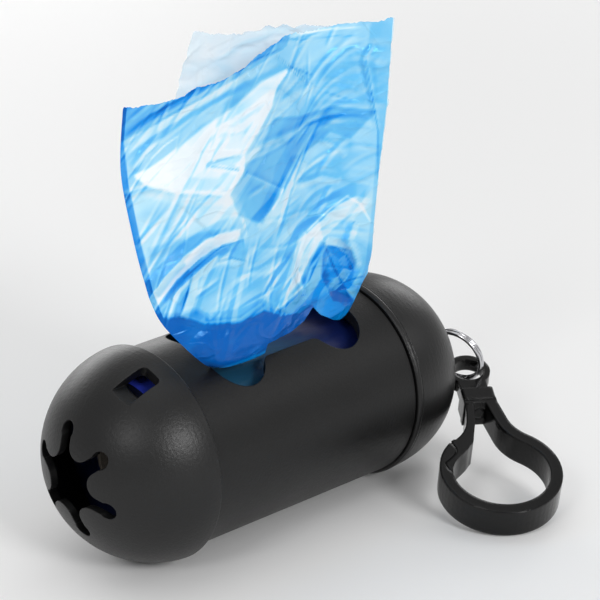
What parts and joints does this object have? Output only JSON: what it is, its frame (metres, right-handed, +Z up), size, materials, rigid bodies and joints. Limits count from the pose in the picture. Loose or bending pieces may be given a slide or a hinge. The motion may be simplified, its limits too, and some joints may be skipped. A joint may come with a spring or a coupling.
{
  "type": "dog waste bag dispenser",
  "caption": "Capsule-shaped dispenser that feeds thin waste bags from an inner roll through a side slot, with pull-off and twist-off domed caps, a split ring and a swivel snap hook.",
  "frame": {"origin": "on the floor, under the middle of the barrel and on its lowest line", "axes": "X along the capsule towards the ring end, Z up, Y towards the back; the snap hook lies on the -Y side"},
  "size_m": [0.0983, 0.0667, 0.0942],
  "materials": {
    "front_cap": "fine matte, black",
    "barrel": "fine matte, black",
    "rear_cap": "satin, black",
    "roll_core": "plain card",
    "bag_roll": "thin film wound in layers, blue",
    "pulled_bag": "thin crumpled film, light blue",
    "split_ring": "bright nickel plate",
    "swivel_eye": "satin, black",
    "hook_frame": "semi-gloss, black",
    "hook_gate": "semi-gloss, black"
  },
  "bodies": {
    "body": {"barrel": "barrel"},
    "front": {"front_cap": "front_cap"},
    "rear": {"rear_cap": "rear_cap"},
    "roll": {"roll_core": "roll_core", "bag_roll": "bag_roll"},
    "bag": {"pulled_bag": "pulled_bag"},
    "ring": {"split_ring": "split_ring"},
    "swivel": {"swivel_eye": "swivel_eye"},
    "hook": {"hook_frame": "hook_frame"},
    "gate": {"hook_gate": "hook_gate"}
  },
  "joints": [
    {"name": "front_cap_pull", "type": "slide", "parent": "body", "child": "front", "axis": [-1, 0, 0], "range_m": [0, 0.025]},
    {"name": "rear_cap_turn", "type": "hinge", "parent": "body", "child": "rear", "pos_m": [0.02555, 0, 0.0202], "axis": [1, 0, 0], "range_deg": [-60, 0]},
    {"name": "roll_spin", "type": "hinge", "parent": "body", "child": "roll", "pos_m": [0, 0, 0.0193], "axis": [1, 0, 0], "range_deg": [0, 88]},
    {"name": "bag_pull", "type": "slide", "parent": "body", "child": "bag", "axis": [0, 0, 1], "range_m": [0, 0.025]},
    {"name": "ring_swing", "type": "hinge", "parent": "rear", "child": "ring", "pos_m": [0.0482, -0.00295, 0.0202], "axis": [0, 0, 1], "range_deg": [0, 35]},
    {"name": "hook_lift", "type": "hinge", "parent": "ring", "child": "swivel", "pos_m": [0.0512, -0.01172, 0.01631], "axis": [0.0193, 0.8081, -0.5888], "range_deg": [-40, 3]},
    {"name": "hook_spin", "type": "hinge", "parent": "swivel", "child": "hook", "pos_m": [0.04452, -0.01874, 0.0133], "axis": [0.5656, 0.7615, 0.3165], "continuous": true},
    {"name": "gate_open", "type": "hinge", "parent": "hook", "child": "gate", "pos_m": [0.04129, -0.01918, 0.01254], "axis": [-0.1887, -0.2541, 0.9486], "range_deg": [0, 25], "stiffness_Nm_per_rad": 0.12}
  ],
  "couplings": [
    {"joint": "bag_pull", "follows": "roll_spin", "m_per_rad": 0.0161}
  ]
}
